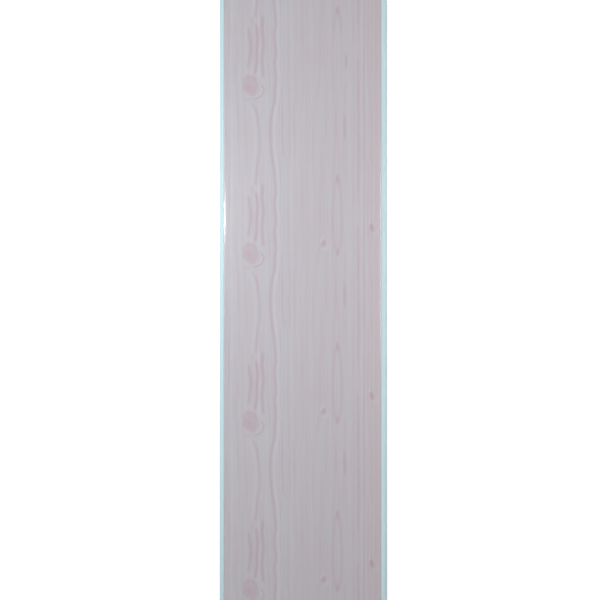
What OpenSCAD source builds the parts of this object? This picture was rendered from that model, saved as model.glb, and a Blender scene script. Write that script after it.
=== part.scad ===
// Hollow wall panel, extruded in rigid PVC: one length with a tongue along its
// left edge, and a groove and a nailing flange along its right edge.
// The panel lies on its back. X runs across it from the tongue to the flange,
// Y along the extrusion, and Z out of the printed face. The origin is the
// middle of the bounding box's bottom.

/* [Panel] */
// Length, from one sawn end to the other
panel_length = 2700; // [300:50:6000]
// Width of the face, from the shoulder at the tongue to the lip over the groove
cover_width = 250; // [150:5:400]
// Thickness, from the back to the face
thickness = 8; // [7:0.5:12]

/* [Walls] */
// Wall behind the printed face, also in the lip and the shoulder
face_skin = 0.8; // [0.6:0.05:1.2]
// Wall at the back
back_skin = 0.7; // [0.5:0.05:1.1]
// Webs between the cells
web = 0.5; // [0.4:0.05:1]
// Cells of full height
cell_count = 22; // [8:1:36]
// Fillet in the corners of the cells
cell_fillet = 0.5; // [0.2:0.05:0.8]
// Radius on the corners along the back, which a die doesn't make sharp
back_corner_radius = 0.3; // [0.1:0.05:0.4]

/* [Tongue edge] */
// Radius that rounds the face down to the tongue
shoulder_radius = 3.2; // [2.4:0.1:4]
// How far the tongue stands out from the face's left edge
tongue_reach = 5.9; // [4:0.1:8]
// Wall of the hollow tongue
tongue_wall = 0.7; // [0.5:0.05:0.9]
// Radius on the two corners of the tongue's tip
tongue_tip_radius = 1.2; // [0.4:0.1:1.6]

/* [Groove edge] */
// Radius of the lip that rounds the face down at the groove
lip_radius = 1.9; // [1.5:0.1:2.4]
// How far the nailing flange stands out from the face's right edge
flange_reach = 10.3; // [8:0.1:16]
// Thickness of the nailing flange
flange_thickness = 1.2; // [1:0.05:1.5]
// Width of the bead along the flange's free edge
bead_width = 1.6; // [1:0.1:2.2]
// How far the bead stands above the flange
bead_rise = 0.5; // [0.2:0.05:0.7]
// Width of the shallow groove that marks the nailing line
nail_line_width = 1.6; // [1:0.1:2]
// Depth of the nailing line
nail_line_depth = 0.4; // [0.2:0.05:0.6]
// Distance from the bead to the middle of the nailing line
nail_line_inset = 1.7; // [1.2:0.1:2.5]

/* [Clearances between neighbours] */
// Between the tongue and the lip above it
tongue_clearance = 0.3; // [0.1:0.05:0.6]
// Beyond the tip of a tongue or flange that is pushed home
end_clearance = 0.7; // [0.3:0.1:1.5]
// Over the flange, for the crown of a staple or the head of a nail
staple_clearance = 0.8; // [0.75:0.05:1.2]
// Between the lip and the step up to the flange's full thickness
lip_clearance = 0.3; // [0.1:0.05:0.6]

/* [Hidden] */
$fn = 64;
panel_colour = [0.78, 0.76, 0.79];
// Overrun of a cutting shape past the outline that it cuts
overrun = 1;
groove_depth = tongue_reach + end_clearance;
// The rebate under the tongue edge takes the neighbour's flange
rebate_width = flange_reach + end_clearance;
rebate_height = flange_thickness + staple_clearance;
tongue_bottom = rebate_height;
tongue_top = thickness - lip_radius - tongue_clearance;
tongue_height = tongue_top - tongue_bottom;
cell_top = thickness - face_skin;
first_cell_x = rebate_width + web;
groove_x = cover_width - groove_depth;
cell_pitch = (groove_x - first_cell_x) / cell_count;
bead_x = cover_width + flange_reach - bead_width;
middle_x = (cover_width + flange_reach - tongue_reach) / 2;

// What is left of a square corner once it is rounded. The corner is at the
// origin, with the solid towards +X and +Y.
module corner_waste(radius, over = 0) {
    difference() {
        translate([-over, -over]) square(radius + over);
        translate([radius, radius]) circle(radius);
    }
}

// An opening with a fillet in each corner. The corner at the top left can
// have a radius of its own.
module filleted_opening(width, height, fillet, top_left = 0) {
    difference() {
        square([width, height]);
        corner_waste(fillet);
        translate([width, 0]) mirror([1, 0]) corner_waste(fillet);
        translate([width, height]) rotate(180) corner_waste(fillet);
        translate([0, height]) mirror([0, 1]) corner_waste(max(fillet, top_left));
    }
}

// The rebate under the tongue edge, with a fillet where its step meets its ceiling
module rebate() {
    difference() {
        translate([-overrun, -overrun]) square([rebate_width + overrun, rebate_height + overrun]);
        translate([rebate_width, rebate_height]) rotate(180) corner_waste(back_corner_radius);
    }
}

// The body between the joints: the face rounds down at both edges, and the
// back has the rebate at the left
module body_outline() {
    difference() {
        square([cover_width, thickness]);
        translate([0, thickness]) mirror([0, 1]) corner_waste(shoulder_radius, overrun);
        translate([cover_width, thickness]) rotate(180) corner_waste(lip_radius, overrun);
        rebate();
        translate([rebate_width, 0]) corner_waste(back_corner_radius, overrun);
    }
}

// The tongue reaches into the body as far as the inside of the shoulder
module tongue_outline() {
    tip_radius = min(tongue_tip_radius, tongue_height / 2 - overrun / 20);
    translate([-tongue_reach, tongue_bottom])
        difference() {
            square([tongue_reach + face_skin, tongue_height]);
            corner_waste(tip_radius, overrun);
            translate([0, tongue_height]) mirror([0, 1]) corner_waste(tip_radius, overrun);
        }
}

module tongue_hollow() {
    fillet = min(cell_fillet, tongue_height / 2 - tongue_wall - overrun / 20);
    translate([tongue_wall - tongue_reach, tongue_bottom + tongue_wall])
        filleted_opening(
            tongue_reach - tongue_wall,
            tongue_height - 2 * tongue_wall,
            fillet
        );
}

// The cell above the rebate follows the shoulder with a wall of even thickness
module shoulder_cell() {
    floor = rebate_height + back_skin;
    translate([face_skin, floor])
        filleted_opening(
            rebate_width - face_skin,
            cell_top - floor,
            cell_fillet,
            shoulder_radius - face_skin
        );
}

module full_cells() {
    for (i = [0 : cell_count - 1])
        translate([first_cell_x + i * cell_pitch, back_skin])
            filleted_opening(cell_pitch - web, cell_top - back_skin, cell_fillet);
}

// The groove runs under the lip, whose inside is rounded about the same centre
module groove() {
    lip_x = cover_width - lip_radius;
    pocket_width = lip_x - groove_x;
    mouth_height = thickness - lip_radius - back_skin;
    translate([groove_x, back_skin])
        difference() {
            square([pocket_width, cell_top - back_skin]);
            corner_waste(cell_fillet);
            translate([0, cell_top - back_skin]) mirror([0, 1]) corner_waste(cell_fillet);
        }
    translate([lip_x - overrun, back_skin]) square([lip_radius + 2 * overrun, mouth_height]);
    translate([lip_x, thickness - lip_radius]) circle(lip_radius - face_skin);
}

module nail_line() {
    radius = (pow(nail_line_width / 2, 2) + pow(nail_line_depth, 2)) / (2 * nail_line_depth);
    translate([bead_x - nail_line_inset, flange_thickness - nail_line_depth + radius])
        circle(radius);
}

// The flange carries the back's wall on under the groove, and is thicker from
// just outside the lip
module nailing_flange() {
    flange_x = cover_width + lip_clearance;
    bead_top = flange_thickness + bead_rise;
    difference() {
        union() {
            translate([groove_x, 0]) square([bead_x - groove_x, back_skin]);
            translate([flange_x, 0]) square([bead_x - flange_x + bead_width / 2, flange_thickness]);
            translate([bead_x, 0]) square([bead_width, bead_top - bead_width / 2]);
            translate([bead_x + bead_width / 2, bead_top - bead_width / 2]) circle(bead_width / 2);
        }
        nail_line();
        translate([bead_x + bead_width, 0]) mirror([1, 0]) corner_waste(back_corner_radius, overrun);
    }
}

module panel_section() {
    difference() {
        union() {
            body_outline();
            tongue_outline();
        }
        tongue_hollow();
        shoulder_cell();
        full_cells();
        groove();
    }
    nailing_flange();
}

module wall_panel() {
    color(panel_colour)
        translate([-middle_x, 0, 0])
            rotate([90, 0, 0])
                linear_extrude(panel_length, center = true)
                    panel_section();
}

wall_panel();
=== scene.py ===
import math

import bpy
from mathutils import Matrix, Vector
from mathutils.geometry import tessellate_polygon


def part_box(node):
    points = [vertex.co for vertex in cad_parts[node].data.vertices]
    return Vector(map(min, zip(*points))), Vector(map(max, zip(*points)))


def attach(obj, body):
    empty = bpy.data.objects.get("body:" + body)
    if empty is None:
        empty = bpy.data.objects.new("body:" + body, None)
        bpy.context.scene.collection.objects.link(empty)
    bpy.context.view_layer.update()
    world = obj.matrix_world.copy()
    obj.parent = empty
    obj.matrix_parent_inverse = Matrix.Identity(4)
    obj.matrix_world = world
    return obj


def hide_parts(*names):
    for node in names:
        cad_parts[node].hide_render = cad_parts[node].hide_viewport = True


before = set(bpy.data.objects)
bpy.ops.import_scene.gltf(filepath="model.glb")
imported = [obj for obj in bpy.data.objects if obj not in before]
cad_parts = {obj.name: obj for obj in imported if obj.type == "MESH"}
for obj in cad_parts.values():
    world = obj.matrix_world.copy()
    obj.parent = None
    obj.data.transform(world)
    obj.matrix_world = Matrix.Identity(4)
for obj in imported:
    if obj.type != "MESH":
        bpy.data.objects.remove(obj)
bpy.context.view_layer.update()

# The panel is one length of rigid PVC, pushed through a die as two thin skins
# with webs between them, a hollow tongue on the left edge, and a groove and a
# nailing flange on the right. A saw cuts the length off square.
mm = 0.001
low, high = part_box("wall_panel")
thickness = high.z - low.z
tongue_reach = 5.9 * mm
flange_reach = 10.3 * mm
cover_width = high.x - low.x - tongue_reach - flange_reach
face_left = low.x + tongue_reach

# Walls, radii and clearances, as in the CAD solid
face_skin = 0.8 * mm
back_skin = 0.7 * mm
web = 0.5 * mm
cell_count = 22
cell_fillet = 0.5 * mm
back_corner_radius = 0.3 * mm
shoulder_radius = 3.2 * mm
tongue_wall = 0.7 * mm
tongue_tip_radius = 1.2 * mm
lip_radius = 1.9 * mm
# Where the print stops on the lip, in degrees above its outermost line
print_stops = 64
flange_thickness = 1.2 * mm
bead_width = 1.6 * mm
bead_rise = 0.5 * mm
nail_line_width = 1.6 * mm
nail_line_depth = 0.4 * mm
nail_line_inset = 1.7 * mm
tongue_clearance = 0.3 * mm
end_clearance = 0.7 * mm
staple_clearance = 0.8 * mm
lip_clearance = 0.3 * mm

cell_top = thickness - face_skin
rebate_width = flange_reach + end_clearance
rebate_height = flange_thickness + staple_clearance
tongue_top = thickness - lip_radius - tongue_clearance
first_cell = rebate_width + web
groove_left = cover_width - tongue_reach - end_clearance
cell_pitch = (groove_left - first_cell) / cell_count
lip_centre = cover_width - lip_radius
bead_left = cover_width + flange_reach - bead_width
flange_step = cover_width + lip_clearance

lengthwise_steps = 18
# About how many degrees lie between two points of an arc
arc_step = 9
sharp_from = math.radians(35)


def arc(across, up, radius, start, end):
    """Points of an arc about (across, up). Angles in degrees run from +X towards +Z."""
    steps = max(2, round(abs(end - start) / arc_step))
    angles = [math.radians(start + (end - start) * i / steps) for i in range(steps + 1)]
    return [(across + radius * math.cos(a), up + radius * math.sin(a)) for a in angles]


def opening(left, bottom, right, top, top_left_radius=cell_fillet):
    """The outline of a cell with filleted corners, counter-clockwise."""
    fillet = cell_fillet
    return (
        arc(left + fillet, bottom + fillet, fillet, 180, 270)
        + arc(right - fillet, bottom + fillet, fillet, 270, 360)
        + arc(right - fillet, top - fillet, fillet, 0, 90)
        + arc(left + top_left_radius, top - top_left_radius, top_left_radius, 90, 180)
    )


def tongue_run():
    """Round the tongue's tip, from its underside to the shoulder."""
    left, radius = -tongue_reach, tongue_tip_radius
    return (
        arc(left + radius, rebate_height + radius, radius, 270, 180)
        + arc(left + radius, tongue_top - radius, radius, 180, 90)
    )


def face_run():
    """Up the shoulder, over the face and part of the way down the lip: the printed stretch."""
    shoulder_centre = thickness - shoulder_radius
    meets_tongue = math.degrees(math.asin((tongue_top - shoulder_centre) / shoulder_radius))
    return (
        arc(shoulder_radius, shoulder_centre, shoulder_radius, 180 - meets_tongue, 90)
        + arc(lip_centre, thickness - lip_radius, lip_radius, 90, print_stops)
    )


def groove_run():
    """Round the lip and the groove, and along its floor to the flange's step."""
    fillet = cell_fillet
    lip_height = thickness - lip_radius
    return (
        arc(lip_centre, lip_height, lip_radius, print_stops, 0)[1:]
        + arc(lip_centre, lip_height, lip_radius - face_skin, 0, 90)
        + arc(groove_left + fillet, cell_top - fillet, fillet, 90, 180)
        + arc(groove_left + fillet, back_skin + fillet, fillet, 180, 270)
        + [(flange_step, back_skin), (flange_step, flange_thickness)]
    )


def flange_run():
    """Over the nailing line and the bead, down to the back."""
    corner = back_corner_radius
    line = bead_left - nail_line_inset
    radius = (nail_line_width ** 2 / 4 + nail_line_depth ** 2) / (2 * nail_line_depth)
    centre = flange_thickness - nail_line_depth + radius
    half_turn = math.degrees(math.asin(min(1, nail_line_width / 2 / radius)))
    bead_radius = bead_width / 2
    bead_centre = flange_thickness + bead_rise - bead_radius
    meets_flange = math.degrees(math.asin((flange_thickness - bead_centre) / bead_radius))
    return (
        arc(line, centre, radius, 270 - half_turn, 270 + half_turn)
        + arc(bead_left + bead_radius, bead_centre, bead_radius, 180 - meets_flange, 0)
        + arc(bead_left + bead_width - corner, corner, corner, 0, -90)
    )


def back_run():
    """Along the back to the rebate, which takes the next panel's flange."""
    corner = back_corner_radius
    return (
        arc(rebate_width + corner, corner, corner, 270, 180)
        + arc(rebate_width - corner, rebate_height - corner, corner, 0, 90)
    )


# The finishes, in the order of the panel's materials
PRINTED, BARE, SAWN = range(3)
runs = [
    (tongue_run(), BARE),
    (face_run(), PRINTED),
    (groove_run(), BARE),
    (flange_run(), BARE),
    (back_run(), BARE),
]
outline = [point for points, _ in runs for point in points]
# A wall between two runs is bare, because the print stops at the joints
outline_finish = [
    finish if i < len(points) - 1 else BARE for points, finish in runs for i in range(len(points))
]
# The back begins with the wall from the flange's free edge to the rebate
back_from = len(outline) - len(runs[-1][0]) - 1

hollow_floor = rebate_height + back_skin
openings = [
    opening(tongue_wall - tongue_reach, rebate_height + tongue_wall, 0, tongue_top - tongue_wall),
    opening(face_skin, hollow_floor, rebate_width, cell_top, shoulder_radius - face_skin),
]
for i in range(cell_count):
    left = first_cell + i * cell_pitch
    openings.append(opening(left, back_skin, left + cell_pitch - web, cell_top))

# The bake map gives most of its width to the front, in two lengths side
# by side. Each entry is a strip's left and right edge, and in end_rows the lower
# and upper edge of one end.
front_strips = [(0.0, 0.42), (0.425, 0.845)]
back_strip = (0.85, 0.93)
cell_strip = (0.935, 0.975)
end_strip = (0.98, 1.0)
end_rows = [(0.0, 0.46), (0.5, 0.96)]


def run_lengths(points):
    """How far each point lies along the closed outline, with the whole length last."""
    lengths = [0.0]
    for a, b in zip(points, points[1:] + points[:1]):
        lengths.append(lengths[-1] + math.dist(a, b))
    return lengths


def between(strip, share):
    """The place in a strip at a share of the way from its first edge to its second."""
    return strip[0] + (strip[1] - strip[0]) * share


loops = [outline, *openings]
section = [point for loop in loops for point in loop]
levels = [low.y + (high.y - low.y) * i / lengthwise_steps for i in range(lengthwise_steps + 1)]


def side_faces():
    """The faces from one level to the next: corners, finish, and places on the picture."""
    for level in range(lengthwise_steps):
        share = [level / lengthwise_steps, (level + 1) / lengthwise_steps]
        half = int(share[0] >= 0.5)
        near = level * len(section)
        for loop in loops:
            far = near + len(section)
            lengths = run_lengths(loop)
            for i in range(len(loop)):
                following = (i + 1) % len(loop)
                if loop is not outline:
                    strip, first, last, rows = cell_strip, 0.0, lengths[-1], share
                elif i >= back_from:
                    strip, first, last, rows = back_strip, lengths[back_from], lengths[-1], share
                else:
                    strip, first, last = front_strips[half], 0.0, lengths[back_from]
                    rows = [2 * s - half for s in share]
                left, right = (between(strip, (lengths[k] - first) / (last - first)) for k in (i, i + 1))
                yield (
                    (near + i, near + following, far + following, far + i),
                    outline_finish[i] if loop is outline else BARE,
                    [(left, rows[0]), (right, rows[0]), (right, rows[1]), (left, rows[1])],
                )
            near += len(loop)


def end_faces():
    """The triangles that close the walls at the two sawn ends, in the same form."""
    flat = [[Vector((x, z, 0)) for x, z in loop] for loop in loops]
    for end, offset in enumerate((0, lengthwise_steps * len(section))):
        for corners in tessellate_polygon(flat):
            a, b, c = (section[k] for k in corners)
            turns_left = (b[0] - a[0]) * (c[1] - a[1]) > (b[1] - a[1]) * (c[0] - a[0])
            # Seen along +Y, a face whose corners turn left looks back at the viewer
            if turns_left != (end == 0):
                corners = corners[::-1]
            places = [
                (
                    between(end_strip, section[k][1] / thickness),
                    between(end_rows[end], (section[k][0] + tongue_reach) / (high.x - low.x)),
                )
                for k in corners
            ]
            yield [offset + k for k in corners], SAWN, places


faces, finishes, places = zip(*side_faces(), *end_faces())
panel_mesh = bpy.data.meshes.new("wall_panel_extrusion")
panel_mesh.from_pydata([(face_left + x, y, low.z + z) for y in levels for x, z in section], [], faces)
panel_mesh.polygons.foreach_set("material_index", finishes)
bake_map = panel_mesh.uv_layers.new(name="OFBake")
bake_map.data.foreach_set("uv", [value for face in places for place in face for value in place])
panel_mesh.shade_smooth()
panel_mesh.set_sharp_from_angle(angle=sharp_from)
panel_mesh.validate()
panel = bpy.data.objects.new("printed_wall_panel", panel_mesh)
bpy.context.scene.collection.objects.link(panel)

# The die leaves fine lines along the whole length, and the skins sink a little
# over each web as the plastic cools. Both show only where light glances off. As
# in all the materials, sizes here are in millimetres.
streak_length = 900.0
drift_length = 240.0
drifts_per_web = 0.6


class Field:
    """A number that varies over a surface. Sums and products of fields add Math nodes."""

    def __init__(self, tree, socket):
        self.tree, self.socket = tree, socket

    def math(self, operation, *others):
        """A Math node that takes this field first, and then the others."""
        node = self.tree.nodes.new("ShaderNodeMath")
        node.operation = operation
        connect(self.tree, self, node.inputs[0])
        for value, place in zip(others, (1, 2)):
            connect(self.tree, value, node.inputs[place])
        return Field(self.tree, node.outputs[0])

    def __add__(self, other):
        return self.math("ADD", other)

    def __sub__(self, other):
        return self.math("SUBTRACT", other)

    def __mul__(self, other):
        return self.math("MULTIPLY", other)

    def __truediv__(self, other):
        return self.math("DIVIDE", other)

    def size(self):
        """The field without its sign."""
        return self.math("ABSOLUTE")

    def fades(self, full, gone):
        """1 where the field is at full, 0 where it is at gone, and smooth between them."""
        node = self.tree.nodes.new("ShaderNodeMapRange")
        node.interpolation_type = "SMOOTHSTEP"
        connect(self.tree, self, node.inputs["Value"])
        backwards = full > gone
        node.inputs["From Min"].default_value = gone if backwards else full
        node.inputs["From Max"].default_value = full if backwards else gone
        node.inputs["To Min"].default_value = 0.0 if backwards else 1.0
        node.inputs["To Max"].default_value = 1.0 if backwards else 0.0
        return Field(self.tree, node.outputs["Result"])


def connect(tree, value, socket):
    """Links a field or an output socket to an input, or sets the input to a number."""
    if isinstance(value, Field):
        value = value.socket
    if isinstance(value, bpy.types.NodeSocket):
        tree.links.new(value, socket)
    else:
        socket.default_value = value


def join(tree, x, y, z):
    node = tree.nodes.new("ShaderNodeCombineXYZ")
    for value, socket in zip((x, y, z), node.inputs):
        connect(tree, value, socket)
    return node.outputs[0]


def noise(tree, place, detail=2.0, roughness=0.5):
    node = tree.nodes.new("ShaderNodeTexNoise")
    connect(tree, place, node.inputs["Vector"])
    node.inputs["Scale"].default_value = 1.0
    node.inputs["Detail"].default_value = detail
    node.inputs["Roughness"].default_value = roughness
    return Field(tree, node.outputs["Fac"])


def new_group(name, inputs, outputs):
    """A shader node group. Inputs are names with their usual values, outputs are names."""
    tree = bpy.data.node_groups.new(name, "ShaderNodeTree")
    for title, value in inputs.items():
        socket = tree.interface.new_socket(title, in_out="INPUT", socket_type="NodeSocketFloat")
        socket.default_value = value
    for title in outputs:
        tree.interface.new_socket(title, in_out="OUTPUT", socket_type="NodeSocketFloat")
    source = tree.nodes.new("NodeGroupInput")
    result = tree.nodes.new("NodeGroupOutput")
    return tree, {title: Field(tree, source.outputs[title]) for title in inputs}, result


die_lines, at, result = new_group(
    "Die lines", {"Across": 0.0, "Along": 0.0, "Up": 0.0, "Spacing": 1.0, "Depth": 0.003}, ["Height"]
)
place = join(
    die_lines, at["Across"] / at["Spacing"], at["Along"] / streak_length, at["Up"] / at["Spacing"]
)
lines = noise(die_lines, place, detail=3.0, roughness=0.6) - 0.5
connect(die_lines, lines * at["Depth"], result.inputs["Height"])

web_sinks, at, result = new_group(
    "Web sinks", {"Across": 0.0, "Along": 0.0, "Depth": 0.008}, ["Height"]
)
turns = (at["Across"] - (first_cell - web / 2) / mm) / (cell_pitch / mm)
over_webs = (turns * math.tau).math("COSINE")
place = join(web_sinks, turns * drifts_per_web, at["Along"] / drift_length, 0.0)
drift = noise(web_sinks, place, detail=1.0)
connect(web_sinks, over_webs * drift * at["Depth"] * -1.0, result.inputs["Height"])

# Storage and handling leave a thin dust in patches, and a few faint rub marks
# that run along the length.
patch_width, patch_length, patch_height = 60.0, 140.0, 6.0
rub_width, rub_length = 5.0, 45.0
rub_seed = 3.7
handling, at, result = new_group(
    "Handling", {"Across": 0.0, "Along": 0.0, "Up": 0.0, "Dust": 0.3, "Rubs": 0.3}, ["Dust", "Rubs"]
)
place = join(
    handling, at["Across"] / patch_width, at["Along"] / patch_length, at["Up"] / patch_height
)
patches = noise(handling, place, detail=4.0, roughness=0.65).fades(0.75, 0.4)
connect(handling, patches * at["Dust"], result.inputs["Dust"])
place = join(handling, at["Across"] / rub_width, at["Along"] / rub_length, rub_seed)
rubs = noise(handling, place, detail=5.0, roughness=0.7).fades(0.78, 0.6)
connect(handling, rubs * at["Rubs"], result.inputs["Rubs"])

# Where it isn't printed, the PVC shows its own cool bluish white, with a soft
# gloss. The thin flange is whiter in tone and painted brighter against the lip's
# shade, painted shade darkens the lip's edge and the nailing line, and the
# flange is matt along its bead.
tongue_tip = -tongue_reach / mm
lip_edge = cover_width / mm
bead_edge = (cover_width + flange_reach) / mm
nail_line = (bead_left - nail_line_inset) / mm
cloud_width, cloud_length, cloud_height = 8.0, 400.0, 3.0
bare_roughness = 0.3
bead_roughness = 0.4


def srgb(red, green, blue):
    """A colour as it is seen on screen, 0 to 255, in linear light."""
    def linear(value):
        value /= 255
        return value / 12.92 if value <= 0.04045 else ((value + 0.055) / 1.055) ** 2.4
    return (linear(red), linear(green), linear(blue), 1.0)


def mix_colour(tree, share, first, second):
    node = tree.nodes.new("ShaderNodeMix")
    node.data_type = "RGBA"
    connect(tree, share, node.inputs["Factor"])
    connect(tree, first, node.inputs["A"])
    connect(tree, second, node.inputs["B"])
    return node.outputs["Result"]


def new_material(name):
    material = bpy.data.materials.new(name)
    material.use_nodes = True
    tree = material.node_tree
    return material, tree, tree.nodes["Principled BSDF"]


def panel_places(tree):
    """Millimetres across from the face's left edge, along from the middle, and up from the back."""
    coordinates = tree.nodes.new("ShaderNodeTexCoord")
    parts = tree.nodes.new("ShaderNodeSeparateXYZ")
    tree.links.new(coordinates.outputs["Object"], parts.inputs[0])
    x, y, z = (Field(tree, socket) for socket in parts.outputs)
    return (x - face_left) / mm, y / mm, (z - low.z) / mm


def place_group(tree, group, **values):
    """Puts a group in a tree, and gives its outputs as fields by name."""
    node = tree.nodes.new("ShaderNodeGroup")
    node.node_tree = group
    for title, value in values.items():
        connect(tree, value, node.inputs[title])
    return {socket.name: Field(tree, socket) for socket in node.outputs}


def bump(tree, height, shader):
    """Feeds a height in millimetres to the shader's normal."""
    node = tree.nodes.new("ShaderNodeBump")
    node.inputs["Distance"].default_value = mm
    connect(tree, height, node.inputs["Height"])
    tree.links.new(node.outputs["Normal"], shader.inputs["Normal"])


bare_colour = srgb(217, 250, 255)
bare_shade = srgb(208, 241, 252)
# The flange's colour is whiter in tone, and partly a painted brightening against the lip's shade
flange_brightened_colour = srgb(235, 251, 255)
# The nail line's colour is painted shade of its groove
nail_line_shade_colour = srgb(207, 234, 239)
# The lip edge's colour is painted shade
lip_shade_colour = srgb(171, 185, 193)
shoulder_white_colour = srgb(245, 250, 255)
# The colour that greys the tongue's tip and the bead's outer side is painted shade
edge_shade_colour = srgb(180, 192, 197)
dust_colour = srgb(196, 198, 196)
bare_pvc, tree, shader = new_material("bare_pvc")
across, along, up = panel_places(tree)
lines = place_group(tree, die_lines, Across=across, Along=along, Up=up, Spacing=0.9, Depth=0.006)
sinks = place_group(tree, web_sinks, Across=across, Along=along, Depth=0.012)
marks = place_group(tree, handling, Across=across, Along=along, Up=up, Dust=0.5, Rubs=0.3)
place = join(tree, across / cloud_width, along / cloud_length, up / cloud_height)
cloud = noise(tree, place, detail=3.0)
colour = mix_colour(tree, cloud.fades(0.8, 0.3), bare_colour, bare_shade)
# The flange is whiter in tone, and painted brighter to lift it out of the shade the lip casts on it
over_flange = across.fades(lip_edge + 1.0, lip_edge - 1.0)
colour = mix_colour(tree, over_flange, colour, flange_brightened_colour)
# Painted shade darkens the nailing line's groove and the flange beside it
by_nail_line = across.fades(nail_line - 0.2, nail_line - 4.0)
by_nail_line = by_nail_line * across.fades(nail_line + 0.6, nail_line + 1.4)
colour = mix_colour(tree, by_nail_line, colour, nail_line_shade_colour)
# Painted shade along the lip's bare side, which turns away from the light
by_lip = across.fades(lip_edge - 1.1, lip_edge - 1.6) * across.fades(lip_edge - 0.5, lip_edge + 1.3)
colour = mix_colour(tree, by_lip * 0.9, colour, lip_shade_colour)
# The colour turns whiter where the shoulder comes down to the tongue
shoulder_whitening = across.fades(-0.6, -1.8) * across.fades(1.0, 2.4)
colour = mix_colour(tree, shoulder_whitening * 0.5, colour, shoulder_white_colour)
# Painted shade greys the tongue's tip and the bead's outer side, toning down the light their steep sides
# catch
edge_shade = across.fades(tongue_tip + 0.1, tongue_tip + 0.6)
edge_shade = edge_shade + across.fades(bead_edge - 0.4, bead_edge - 0.9)
colour = mix_colour(tree, edge_shade * 0.8, colour, edge_shade_colour)
colour = mix_colour(tree, marks["Dust"] * 0.25, colour, dust_colour)
connect(tree, colour, shader.inputs["Base Color"])
matt_edge = across.fades(bead_edge - 1.3, bead_edge - 2.8) * bead_roughness
roughness = marks["Dust"] * 0.15 + marks["Rubs"] * 0.2 + matt_edge + bare_roughness
connect(tree, roughness, shader.inputs["Roughness"])
bump(tree, lines["Height"] + sinks["Height"], shader)
# The first place is for the printed face
panel.data.materials.append(None)
panel.data.materials.append(bare_pvc)

# The face carries a printed wood figure under a clear varnish. The print roller
# repeats the figure at each turn. Places in it are in millimetres: across from the
# face's left edge, and along from where the roller's turn starts.
roller_turn = 266.4
turn_start = 47.2

# The film's and the ink's colours, each where the grain is greyer and pinker
film_colours = srgb(201, 201, 206), srgb(203, 199, 204)
ink_colours = srgb(189, 170, 183), srgb(195, 166, 181)
salmon_ink_colour = srgb(204, 170, 182)
knot_colour = srgb(193, 156, 171)
salmon_colour = srgb(206, 190, 194)
pale_colour = srgb(209, 210, 218)
# Painted shade for the flange side of the face
flange_side_shade_colour = srgb(150, 146, 152)
face_dust_colour = srgb(200, 199, 197)
peel_width, peel_length, peel_depth = 2.2, 2.6, 0.004
film_roughness = 0.32
varnish_roughness = 0.08
fibre_share = 0.4

# Wavy strands of dark grain: half their width, their strength, the strength of
# the pale edge along their right side or, below zero, their left side, and the
# points that each passes through, as along and across
pale_edge_offset = 3.4
strand_ends = 7.0
wavy_strands = [
    (2.5, 0.38, -0.4, [
        (2, 45), (9, 49.2), (19, 53.6), (33, 55.4), (48, 57), (66, 57.5), (84, 56.6), (96, 54.4),
        (110, 53), (124, 51.3), (134, 50.4),
    ]),
    (2.8, 0.54, 0.0, [
        (146, 40), (153, 40.4), (160, 41.2), (168, 42.4), (177, 43.2), (188, 43), (198, 41.6),
        (206, 40.2), (216, 39),
    ]),
    (2.7, 0.66, 0.0, [
        (140, 50.6), (146, 52), (155, 53.6), (165, 54.2), (175, 53.8), (184, 53), (194, 53),
        (202, 53), (212, 51.8), (224, 49.6),
    ]),
    (3.0, 0.58, -0.42, [
        (127, 63), (138, 61.8), (149, 61.5), (163, 62.6), (173, 63.3), (184, 62.7), (198, 61.5),
        (208, 61.5), (219, 62.6), (231, 63.8),
    ]),
    (2.4, 0.5, 0.6, [
        (0, 80.8), (14, 77), (30, 75), (48, 74.4), (67, 75), (85, 76.9), (101, 79.1),
        (116, 80.9), (132, 82), (145, 82.4), (155, 81), (169, 81.1), (187, 82.6), (197, 82),
        (204, 81.2), (218, 82.1), (231, 82.8), (245, 81.8), (257, 81.4), (266.4, 80.8),
    ]),
    (1.0, 0.25, 0.0, [(226, 154.5), (231, 151.5), (239, 149), (252, 148.2), (264, 148)]),
    (1.0, 0.18, 0.0, [(228, 162), (236, 165), (255, 165.6)]),
]
# Straight lines of grain and the paler gaps between them: across, half width,
# strength, and where each starts and ends along the turn, if it doesn't run all
# the way round
line_ends = 16.0
straight_lines = [
    (8.8, 1.1, 0.2, 105, 215),
    (22.8, 1.5, 0.18, -30, 70),
    (23.4, 1.3, 0.18, 140, 230),
    (30.5, 1.0, 0.14, 8, 112),
    (40.6, 2.0, 0.14, 15, 100),
    (72, 4.0, 0.06, 130, 250),
    (88.4, 0.8, 0.3, -14, 74),
    (94, 1.2, 0.66, -2, 92),
    (103, 1.0, 0.14, 20, 130),
    (112.6, 1.1, 0.12),
    (112.6, 1.1, 0.2, -10, 96),
    (124, 0.9, 0.1),
    (133, 1.4, 0.14),
    (142.5, 1.2, 0.26, 0, 92),
    (157, 1.0, 0.22, 95, 222),
    (175.2, 1.1, 0.12),
    (178.2, 1.2, 0.28, 5, 75),
    (192.2, 1.7, 0.22, -40, 125),
    (205, 1.0, 0.2, 60, 190),
    (206.7, 1.2, 0.14),
    (214, 1.8, 0.75, 190, 420),
    (214.2, 1.7, 0.18),
    (223.4, 1.4, 0.6),
    (229.8, 1.1, 0.28),
    (234.9, 1.4, 0.42),
    (239.4, 0.9, 0.2),
    (242.6, 1.2, 0.3),
    (246.2, 0.9, 0.2),
    (248.6, 1.3, 0.22, 130, 245),
]
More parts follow.
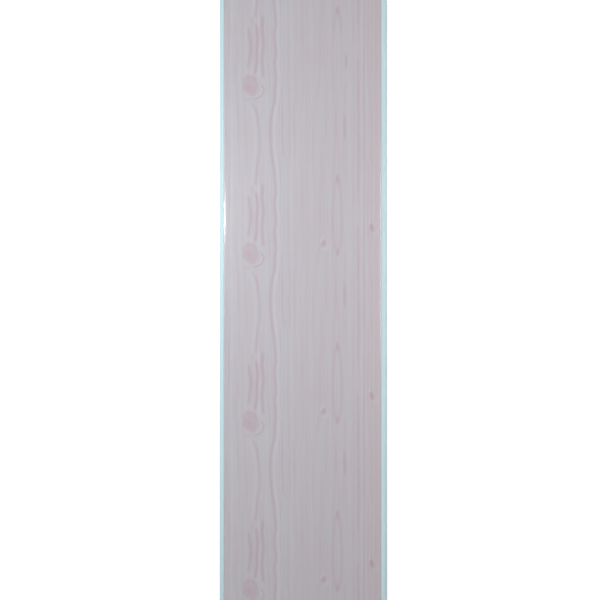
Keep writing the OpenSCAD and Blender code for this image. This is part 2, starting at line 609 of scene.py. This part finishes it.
pale_gaps = [
    (13.4, 3.0, 0.55),
    (49.0, 1.4, 0.3, 0, 130),
    (68, 3.2, 0.35, -20, 140),
    (93.5, 1.6, 0.35, 110, 245),
    (98.5, 0.9, 0.3),
    (108.6, 1.3, 0.6),
    (118, 1.0, 0.25),
    (138.7, 1.3, 0.4),
    (168, 2.0, 0.25),
    (186, 1.5, 0.35, 15, 75),
    (200, 3.2, 0.35),
    (219.2, 1.3, 0.65),
    (226.8, 1.0, 0.6),
    (238, 0.9, 0.3),
]
# How salmon the ground between the lines is, as across and share
ground_tint = [
    (0, 0.2), (12, 0.0), (40, 0.1), (60, 0.05), (95, 0.05), (130, 0.22), (160, 0.2),
    (185, 0.32), (198, 0.2), (215, 0.38), (235, 0.46), (244, 1.0), (250, 0.2),
]
# The marks, each as across, along, half width, half length and lean: the knots,
# the ring beside the large one, the spindle's body, and soft blots
large_knot = (42.6, 240.2, 13.4, 17.4, 0.12)
inner_knot = (158.8, 223.4, 4.4, 6.2, -0.3)
outer_knot = (235.2, 198.6, 4.2, 7.4, 0.15)
ring = (49.0, 247.8, 14.8, 12.8)
spindle_body = (180.6, 182.0, 8.5, 60.0)
low_blot = (38.0, 262.0, 8.0, 3.6)
arm_blot = (46.0, 140.0, 3.6, 6.5)
upper_blot = (48.6, 176.0, 5.4, 26.0)
small_knot_strengths = [(inner_knot, 0.58), (outer_knot, 0.81)]
blot_strengths = [(low_blot, 0.14), (arm_blot, 0.12), (upper_blot, 0.06)]
# How far each pushes the grain aside, and how far out in its half sizes
grain_pushes = [(large_knot, 6.0), (inner_knot, 3.0), (outer_knot, 1.4), (spindle_body, 2.0)]
push_width, push_length = 1.5, 1.6
spindle_start, spindle_end, spindle_across, spindle_half_width = 114.0, 244.5, 180.8, 8.0
dash_across, dash_along = 192.4, 40.5
spindle_strength, tip_strength, dash_strength, ring_strength = 0.31, 0.7, 0.6, 0.5
# On one turn the right half came out otherwise: its small knots and most of its
# spindle are missing, and it has a second, shorter dash. Places along are from the
# panel's middle here, and each pair is where it holds in full and where it ends.
other_turn_along = 371.0
other_turn_reach = 46.0, 62.0
right_half = 152.0, 140.0
second_dash_across, second_dash_along = 194.3, 378.0
second_dash_strength = 0.65
# The widths over which the noise changes: first in the fine grain, and then where
# it bends the grain, roughens the marks' edges and mottles them
fibre_width, fine_fibre_width, pore_width, tint_width = 2.9, 1.3, 0.35, 2.4
waver_width, ragged_width, uneven_width, mottle_width = 40.0, 7.0, 5.0, 3.0
waver_reach = 1.6


def curve_through(tree, field, points, widest, highest):
    """A smooth curve through given points, read at a field from 0 to widest."""
    node = tree.nodes.new("ShaderNodeFloatCurve")
    mapping = node.mapping
    places = [(x / widest, y / highest) for x, y in points]
    curve = mapping.curves[0]
    curve.points[0].location, curve.points[1].location = places[0], places[-1]
    for place in places[1:-1]:
        curve.points.new(*place)
    mapping.update()
    connect(tree, field / widest, node.inputs["Value"])
    return Field(tree, node.outputs[0]) * highest


def strongest(fields):
    """The strongest of several fields at each place."""
    result = fields[0]
    for field in fields[1:]:
        result = result.math("MAXIMUM", field)
    return result


figure, at, result = new_group(
    "Wood figure",
    {"Across": 0.0, "Along": 0.0},
    ["Ink", "Knots", "Fibres", "Pale", "Tint", "Ground"],
)
plain_across = at["Across"]
turn = (at["Along"] * -1.0 + turn_start) / roller_turn
down = turn.math("FRACT") * roller_turn
angle = turn * math.tau
circle = (angle.math("COSINE"), angle.math("SINE"))


def printed_noise(across, across_scale, grip, detail=2.0, roughness=0.5, shift=0.0):
    """Noise that closes on itself at each turn. A larger grip makes shorter streaks."""
    place = join(figure, across / across_scale + shift, circle[0] * grip + shift, circle[1] * grip)
    return noise(figure, place, detail=detail, roughness=roughness)


def shown_between(start, end, soft):
    """1 between two places along the turn, with soft ends. It can cross the turn's end."""
    from_middle = down + (roller_turn * 1.5 - (start + end) / 2)
    from_middle = from_middle.math("MODULO", roller_turn) - roller_turn / 2
    return from_middle.size().fades((end - start) / 2 - soft, (end - start) / 2)


def from_mark(mark_across, mark_along, half_width, half_length, lean=0.0):
    """How far each place is aside of a mark's middle and beyond it, in the mark's half sizes."""
    aside, beyond = plain_across - mark_across, down - mark_along
    if lean:
        aside = aside - beyond * lean
    return aside / half_width, beyond / half_length


def distance(aside, beyond):
    return (aside * aside + beyond * beyond).math("SQRT")


# kept is 0 where the small knots and the spindle are missing, and 1 elsewhere
on_other_turn = (at["Along"] - other_turn_along).size().fades(*other_turn_reach)
kept = on_other_turn * plain_across.fades(*right_half) * -1.0 + 1.0

# The grain bends round the knots, and wavers a little everywhere
waver = (printed_noise(plain_across, waver_width, 0.9, detail=1.0) - 0.5) * waver_reach
bent_across = plain_across + waver
for (mark_across, mark_along, half_width, half_length, *_), push in grain_pushes:
    aside, beyond = from_mark(mark_across, mark_along, half_width * push_width, half_length * push_length)
    near = ((aside * aside + beyond * beyond) * -1.0).math("EXPONENT")
    bent_across = bent_across - aside * near * push

ink, knotty, pale = [], [], []
ragged = (printed_noise(plain_across, ragged_width, 7.0, shift=2.0) - 0.5) * 0.5
uneven = printed_noise(plain_across, uneven_width, 1.6, shift=5.0).fades(0.3, 0.6) * 0.5 + 0.5
for half_width, strength, edge, points in wavy_strands:
    centre = curve_through(figure, down, points, roller_turn, lip_edge)
    off_centre = plain_across + waver * 0.12 - centre
    shown = strength
    if points[0][0] > 0:
        shown = shown_between(points[0][0], points[-1][0], strand_ends) * strength
    ink.append(off_centre.size().fades(half_width * 0.3, half_width * 1.4) * shown)
    if edge:
        beside = (off_centre - math.copysign(half_width + pale_edge_offset, edge)).size().fades(0.8, 3.2)
        pale.append(beside * shown * (abs(edge) / strength))
for strokes, covers in ((straight_lines, ink), (pale_gaps, pale)):
    for line_across, half_width, strength, *stretch in strokes:
        line = (bent_across - line_across).size().fades(half_width * 0.3, half_width * 1.5)
        if stretch:
            line = line * shown_between(*stretch, line_ends)
        covers.append(line * uneven * strength)

# The large knot is a mottled blotch, with a darker heart low on its left and a
# rim round its upper side
aside, beyond = from_mark(*large_knot)
reach = distance(aside, beyond) + ragged * 0.7
heart = (distance(aside + 0.2, beyond - 0.25) + ragged * 1.4).fades(0.1, 0.8) * 0.2
upper = (aside * 0.4 - beyond).fades(0.6, -0.3)
rim = (reach - 0.9).size().fades(0.02, 0.2) * upper * 0.16
mottle = printed_noise(plain_across, mottle_width, 16.0, shift=6.0).fades(0.62, 0.38) * 0.18 + 0.22
knotty.append(reach.fades(0.78, 1.1) * mottle + heart + rim)

# The small knots are drops, wider below, with pale grain at the upper left and the
# lower right
for knot, strength in small_knot_strengths:
    aside, beyond = from_mark(*knot)
    aside = aside / (beyond.math("MINIMUM", 1.0).math("MAXIMUM", -1.0) * 0.4 + 1.0)
    reach = distance(aside, beyond) + ragged
    knotty.append(reach.fades(0.4, 1.2) * kept * strength)
    on_slant = (beyond - aside).size().fades(0.6, 1.8)
    pale.append((reach - 1.7).size().fades(0.1, 0.8) * on_slant * kept * 0.6)

# The ring shows only on the side away from the knot
aside, beyond = from_mark(*ring)
reach = distance(aside, beyond) + ragged * 0.2
beside_knot = (aside + beyond * 0.45).fades(0.6, 0.25)
ink.append((reach - 1.0).size().fades(0.04, 0.2) * beside_knot * ring_strength)
pale.append((reach - 0.8).size().fades(0.03, 0.16) * beside_knot * 0.35)
for blot, strength in blot_strengths:
    aside, beyond = from_mark(*blot)
    knotty.append((aside * aside + beyond * beyond + ragged * 2.0).fades(0.1, 1.3) * strength)

# The spindle: two soft lines that meet in a point at each end, filled near the ends
share = (down - spindle_start) / (spindle_end - spindle_start)
inside = share.math("MAXIMUM", 0.0).math("MINIMUM", 1.0)
half_gap = (inside * math.pi).math("SINE").math("POWER", 0.6) * spindle_half_width
off_centre = (plain_across + waver * 0.5 - spindle_across).size()
shown = shown_between(spindle_start - 2.0, spindle_end + 2.0, 4.0) * kept
ink.append((off_centre - half_gap + 0.8).size().fades(0.5, 3.1) * shown * spindle_strength)
tips = strongest([inside.fades(0.06, 0.17), inside.fades(0.94, 0.87)])
ink.append((off_centre - half_gap).fades(-0.8, 1.6) * tips * shown * tip_strength)
# The dashes: short thick strokes
dash = (down - dash_along).size().fades(8.0, 30.0)
ink.append((plain_across - dash_across).size().fades(1.2, 3.6) * dash * dash_strength)
dash = (at["Along"] - second_dash_along).size().fades(4.0, 17.0)
ink.append((plain_across - second_dash_across).size().fades(0.9, 2.8) * dash * second_dash_strength)

# Between the strands lie close fibre lines and fine pores, and the ink's tint
# changes from one line to the next
fibres = printed_noise(bent_across, fibre_width, 0.4, roughness=0.6)
fine_fibres = printed_noise(bent_across, fine_fibre_width, 0.7, roughness=0.6)
pores = printed_noise(plain_across, pore_width, 7.0, detail=1.0, shift=9.0).fades(0.68, 0.6)
tint = printed_noise(bent_across, tint_width, 1.2, roughness=0.6, shift=4.0)

for title, field in {
    "Ink": strongest(ink),
    "Knots": strongest(knotty),
    "Fibres": fibres.fades(0.66, 0.44) * 0.5 + fine_fibres.fades(0.68, 0.44) * 0.4 + pores * 0.12,
    "Pale": strongest(pale),
    "Tint": tint.fades(0.62, 0.38),
    "Ground": curve_through(figure, plain_across, ground_tint, lip_edge, 1.0),
}.items():
    connect(figure, field, result.inputs[title])

printed_face, tree, shader = new_material("printed_face")
across, along, up = panel_places(tree)
printed = place_group(tree, figure, Across=across, Along=along)
lines = place_group(tree, die_lines, Across=across, Along=along, Up=up, Spacing=1.6, Depth=0.003)
sinks = place_group(tree, web_sinks, Across=across, Along=along, Depth=0.01)
marks = place_group(tree, handling, Across=across, Along=along, Up=up, Dust=0.25, Rubs=0.35)
ink_colour = mix_colour(tree, printed["Tint"], *ink_colours)
ink_colour = mix_colour(tree, printed["Ground"], ink_colour, salmon_ink_colour)
colour = mix_colour(tree, printed["Tint"], *film_colours)
colour = mix_colour(tree, printed["Ground"] * 0.6, colour, salmon_colour)
colour = mix_colour(tree, printed["Fibres"] * fibre_share, colour, ink_colour)
colour = mix_colour(tree, printed["Pale"] * 0.8, colour, pale_colour)
colour = mix_colour(tree, printed["Ink"], colour, ink_colour)
colour = mix_colour(tree, printed["Knots"], colour, knot_colour)
# Painted shade: the face darkens towards the flange, standing in for light that comes more from the left
colour = mix_colour(tree, across.fades(lip_edge, 0.0) * 0.18, colour, flange_side_shade_colour)
colour = mix_colour(tree, marks["Dust"] * 0.12, colour, face_dust_colour)
connect(tree, colour, shader.inputs["Base Color"])
roughness = marks["Rubs"] * 0.12 + marks["Dust"] * 0.08 + film_roughness
connect(tree, roughness, shader.inputs["Roughness"])
shader.inputs["Coat Weight"].default_value = 1.0
shader.inputs["Coat Roughness"].default_value = varnish_roughness
# The varnish sets with a faint orange peel
place = join(tree, across / peel_width, along / peel_length, up / peel_width)
peel = noise(tree, place, detail=1.0) * peel_depth
bump(tree, lines["Height"] + sinks["Height"] + peel, shader)
panel.data.materials[PRINTED] = printed_face

# The saw leaves the ends matt. Its teeth draw fine scratches across them, at a
# slight slant to the back.
scratch_slant = 0.08
scratch_spacing = 0.35
scratch_length = 40.0
scratch_depth = 0.03
sawn_roughness = 0.55
sawn_colour = srgb(212, 236, 243)
scratch_colour = srgb(190, 214, 223)
end_dust_colour = srgb(186, 184, 178)
sawn_pvc, tree, shader = new_material("sawn_pvc")
across, along, up = panel_places(tree)
marks = place_group(tree, handling, Across=across, Along=along, Up=up, Dust=0.6, Rubs=0.2)
off_scratch = (across * scratch_slant + up) / scratch_spacing
place = join(tree, across / scratch_length, off_scratch, 0.0)
scratches = noise(tree, place, detail=3.0, roughness=0.7)
colour = mix_colour(tree, scratches.fades(0.7, 0.35), sawn_colour, scratch_colour)
colour = mix_colour(tree, marks["Dust"] * 0.35, colour, end_dust_colour)
connect(tree, colour, shader.inputs["Base Color"])
connect(tree, scratches * 0.2 + sawn_roughness, shader.inputs["Roughness"])
bump(tree, scratches * scratch_depth, shader)
panel.data.materials.append(sawn_pvc)

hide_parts("wall_panel")
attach(panel, "root")

# The panel lies face up on a plain white floor. The camera hangs over it and looks
# straight down, so both ends run out of the picture.
picture_width = 0.951
camera_distance = 2.64
camera_across = -5.9 * mm
sensor_width = 36.0
camera_data = bpy.data.cameras.new("camera")
camera_data.sensor_width = sensor_width
camera_data.lens = sensor_width * camera_distance / picture_width
camera = bpy.data.objects.new("camera", camera_data)
camera.location = (camera_across, 0.0, high.z + camera_distance)
bpy.context.scene.collection.objects.link(camera)
bpy.context.scene.camera = camera


def seen_as_image(tree):
    """1 for what is seen straight, in a gloss or through glass, and 0 for light that scatters."""
    path = tree.nodes.new("ShaderNodeLightPath")
    rays = ("Is Camera Ray", "Is Glossy Ray", "Is Transmission Ray")
    return strongest([Field(tree, path.outputs[ray]) for ray in rays])


def white_when_seen(tree, surface, light):
    """Adds plain light to a surface where it is seen, so that the ground shows as white."""
    glow = tree.nodes.new("ShaderNodeEmission")
    both = tree.nodes.new("ShaderNodeAddShader")
    connect(tree, seen_as_image(tree) * light, glow.inputs["Strength"])
    tree.links.new(surface, both.inputs[0])
    tree.links.new(glow.outputs[0], both.inputs[1])
    return both.outputs[0]


half_floor = 20.0
floor_colour = (0.8, 0.8, 0.8, 1.0)
floor_glow = 0.7
floor_mesh = bpy.data.meshes.new("floor")
floor_corners = [
    (-half_floor, -half_floor, low.z),
    (half_floor, -half_floor, low.z),
    (half_floor, half_floor, low.z),
    (-half_floor, half_floor, low.z),
]
floor_mesh.from_pydata(floor_corners, [], [range(4)])
floor = bpy.data.objects.new("floor", floor_mesh)
bpy.context.scene.collection.objects.link(floor)
floor_paint, tree, shader = new_material("floor_paint")
shader.inputs["Base Color"].default_value = floor_colour
shader.inputs["Roughness"].default_value = 1.0
shader.inputs["Specular IOR Level"].default_value = 0.0
output = tree.nodes["Material Output"]
connect(tree, white_when_seen(tree, shader.outputs[0], floor_glow), output.inputs["Surface"])
floor_mesh.materials.append(floor_paint)

# The light is plain: a pale sky that is stronger on the right, a small softbox over
# the tongue's side, a large one on the right, and a narrow window far to the left.
sky_light = 0.22
sky_tilt = 0.6
warm_white = (1.03, 1.0, 0.96, 1.0)
plain_white = (1.0, 1.0, 1.0, 1.0)
lamp_colour = (0.98, 1.0, 1.03)
world = bpy.data.worlds.new("studio")
bpy.context.scene.world = world
world.use_nodes = True
tree = world.node_tree
seen = seen_as_image(tree)
heading = tree.nodes.new("ShaderNodeTexCoord")
parts = tree.nodes.new("ShaderNodeSeparateXYZ")
tree.links.new(heading.outputs["Generated"], parts.inputs[0])
around = (Field(tree, parts.outputs["X"]) * sky_tilt + 1.0) * sky_light
strength = around + seen * (around * -1.0 + 1.0)
connect(tree, strength, tree.nodes["Background"].inputs["Strength"])
sky_colour = mix_colour(tree, seen, warm_white, plain_white)
connect(tree, sky_colour, tree.nodes["Background"].inputs["Color"])


def lamp(name, place, size, watts, aim=(0.0, 0.1, 0.0)):
    """A rectangular soft light, which the camera itself doesn't see."""
    data = bpy.data.lights.new(name, "AREA")
    data.shape = "RECTANGLE"
    data.size, data.size_y = size
    data.energy = watts
    data.color = lamp_colour
    light = bpy.data.objects.new(name, data)
    light.location = place
    light.rotation_euler = (Vector(aim) - Vector(place)).to_track_quat("-Z", "Y").to_euler()
    light.visible_camera = False
    bpy.context.scene.collection.objects.link(light)


lamp("near_softbox", (-0.32, 0.17, 0.6), (0.1, 0.13), 0.95)
lamp("right_softbox", (0.87, 0.115, 1.3), (0.5, 0.8), 11.5)
lamp("left_window", (-3.41, 0.305, 1.2), (0.08, 0.4), 38.0, (-0.12, 0.1, 0.0))

bpy.context.scene.view_settings.view_transform = "Standard"
